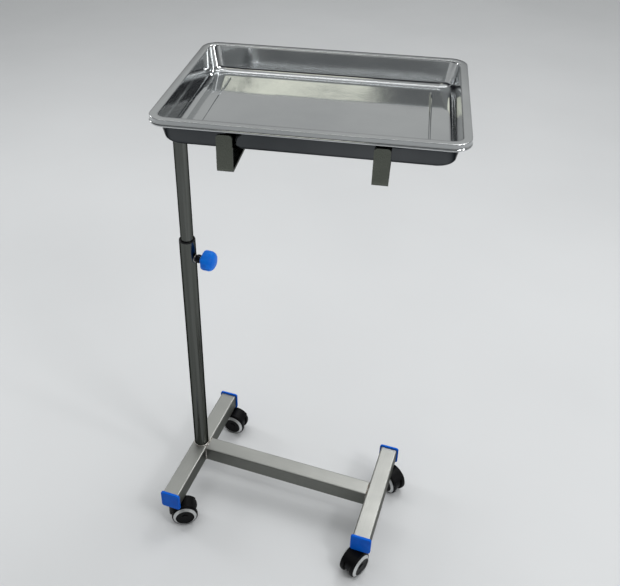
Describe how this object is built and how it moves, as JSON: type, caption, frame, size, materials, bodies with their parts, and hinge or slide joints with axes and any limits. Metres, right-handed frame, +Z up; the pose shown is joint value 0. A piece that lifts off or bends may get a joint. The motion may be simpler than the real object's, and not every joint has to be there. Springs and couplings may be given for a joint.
{
  "type": "instrument stand",
  "caption": "Wheeled stand with a shallow tray on a height-adjustable side mast, an H-shaped base of square tube and twin-wheel casters.",
  "frame": {"origin": "on the floor, on the axis of the mast", "axes": "+X along the crossbar from the mast's bar to the other bar, +Y to the back, +Z up the mast"},
  "size_m": [0.4635, 0.3766, 0.864],
  "materials": {
    "tray_steel": "mirror-polished stainless steel sheet",
    "mast_steel": "polished stainless steel tube",
    "base_steel": "satin-polished stainless steel tube",
    "cradle_steel": "satin-polished stainless steel",
    "plated_steel": "bright zinc-plated steel",
    "blue_plastic": "moulded blue plastic, slightly glossy",
    "black_plastic": "moulded black plastic",
    "caster_plastic": "black nylon caster housing",
    "wheel_plastic": "black nylon wheel with a smooth tread",
    "trim_silver": "silver trim ring",
    "nylon": "natural nylon"
  },
  "bodies": {
    "base": {"left_bar": "base_steel", "right_bar": "base_steel", "crossbar": "base_steel", "front_left_cap": "blue_plastic", "rear_left_cap": "blue_plastic", "front_right_cap": "blue_plastic", "rear_right_cap": "blue_plastic", "mast_outer_tube": "mast_steel", "clamp_boss": "mast_steel", "mast_guide_bush": "black_plastic", "stem_nuts": "plated_steel", "front_left_stem": "plated_steel", "rear_left_stem": "plated_steel", "front_right_stem": "plated_steel", "rear_right_stem": "plated_steel"},
    "mast_guide": {"mast_glide_bush": "nylon"},
    "head": {"mast_inner_tube": "mast_steel", "arm_tube": "cradle_steel", "arm_plug_mast_end": "black_plastic", "arm_plug_far_end": "black_plastic", "near_strap": "cradle_steel", "far_strap": "cradle_steel"},
    "tray": {"tray": "tray_steel"},
    "clamp_screw": {"clamp_stud": "plated_steel"},
    "clamp_handle": {"clamp_knob": "blue_plastic"},
    "front_left_caster": {"front_left_hood": "caster_plastic", "front_left_axle": "plated_steel"},
    "front_left_right_wheel": {"front_left_wheel_right": "wheel_plastic", "front_left_trim_right": "trim_silver"},
    "front_left_left_wheel": {"front_left_wheel_left": "wheel_plastic", "front_left_trim_left": "trim_silver"},
    "rear_left_caster": {"rear_left_hood": "caster_plastic", "rear_left_axle": "plated_steel"},
    "rear_left_right_wheel": {"rear_left_wheel_right": "wheel_plastic", "rear_left_trim_right": "trim_silver"},
    "rear_left_left_wheel": {"rear_left_wheel_left": "wheel_plastic", "rear_left_trim_left": "trim_silver"},
    "front_right_caster": {"front_right_hood": "caster_plastic", "front_right_axle": "plated_steel"},
    "front_right_right_wheel": {"front_right_wheel_right": "wheel_plastic", "front_right_trim_right": "trim_silver"},
    "front_right_left_wheel": {"front_right_wheel_left": "wheel_plastic", "front_right_trim_left": "trim_silver"},
    "rear_right_caster": {"rear_right_hood": "caster_plastic", "rear_right_axle": "plated_steel"},
    "rear_right_right_wheel": {"rear_right_wheel_right": "wheel_plastic", "rear_right_trim_right": "trim_silver"},
    "rear_right_left_wheel": {"rear_right_wheel_left": "wheel_plastic", "rear_right_trim_left": "trim_silver"}
  },
  "joints": [
    {"name": "mast_height", "type": "slide", "parent": "base", "child": "mast_guide", "axis": [0, 0, 1], "range_m": [-0.215, 0.16]},
    {"name": "head_swivel", "type": "hinge", "parent": "mast_guide", "child": "head", "pos_m": [0, 0, 0.315], "axis": [0, 0, 1], "continuous": true},
    {"name": "tray_lift", "type": "slide", "parent": "head", "child": "tray", "axis": [0, 0, 1], "range_m": [0, 0.05]},
    {"name": "clamp_advance", "type": "slide", "parent": "base", "child": "clamp_screw", "axis": [1, 0, 0], "range_m": [0, 0.0025]},
    {"name": "knob_turn", "type": "hinge", "parent": "clamp_screw", "child": "clamp_handle", "pos_m": [0.03, 0, 0.541], "axis": [1, 0, 0], "range_deg": [0, 720]},
    {"name": "front_left_swivel", "type": "hinge", "parent": "base", "child": "front_left_caster", "pos_m": [0, -0.13, 0.045], "axis": [0, 0, 1], "continuous": true},
    {"name": "front_left_right_spin", "type": "hinge", "parent": "front_left_caster", "child": "front_left_right_wheel", "pos_m": [0.01574, -0.12127, 0.025], "axis": [0.4848, -0.8746, 0], "continuous": true},
    {"name": "front_left_left_spin", "type": "hinge", "parent": "front_left_caster", "child": "front_left_left_wheel", "pos_m": [0.01574, -0.12127, 0.025], "axis": [0.4848, -0.8746, 0], "continuous": true},
    {"name": "rear_left_swivel", "type": "hinge", "parent": "base", "child": "rear_left_caster", "pos_m": [0, 0.13, 0.045], "axis": [0, 0, 1], "continuous": true},
    {"name": "rear_left_right_spin", "type": "hinge", "parent": "rear_left_caster", "child": "rear_left_right_wheel", "pos_m": [0.018, 0.12969, 0.025], "axis": [-0.0175, -0.9998, 0], "continuous": true},
    {"name": "rear_left_left_spin", "type": "hinge", "parent": "rear_left_caster", "child": "rear_left_left_wheel", "pos_m": [0.018, 0.12969, 0.025], "axis": [-0.0175, -0.9998, 0], "continuous": true},
    {"name": "front_right_swivel", "type": "hinge", "parent": "base", "child": "front_right_caster", "pos_m": [0.364, -0.1, 0.045], "axis": [0, 0, 1], "continuous": true},
    {"name": "front_right_right_spin", "type": "hinge", "parent": "front_right_caster", "child": "front_right_right_wheel", "pos_m": [0.35654, -0.11638, 0.025], "axis": [-0.91, 0.4147, 0], "continuous": true},
    {"name": "front_right_left_spin", "type": "hinge", "parent": "front_right_caster", "child": "front_right_left_wheel", "pos_m": [0.35654, -0.11638, 0.025], "axis": [-0.91, 0.4147, 0], "continuous": true},
    {"name": "rear_right_swivel", "type": "hinge", "parent": "base", "child": "rear_right_caster", "pos_m": [0.364, 0.1, 0.045], "axis": [0, 0, 1], "continuous": true},
    {"name": "rear_right_right_spin", "type": "hinge", "parent": "rear_right_caster", "child": "rear_right_right_wheel", "pos_m": [0.37874, 0.08968, 0.025], "axis": [-0.5736, -0.8192, 0], "continuous": true},
    {"name": "rear_right_left_spin", "type": "hinge", "parent": "rear_right_caster", "child": "rear_right_left_wheel", "pos_m": [0.37874, 0.08968, 0.025], "axis": [-0.5736, -0.8192, 0], "continuous": true}
  ],
  "couplings": [
    {"joint": "clamp_advance", "follows": "knob_turn", "m_per_rad": 0.0001989}
  ]
}
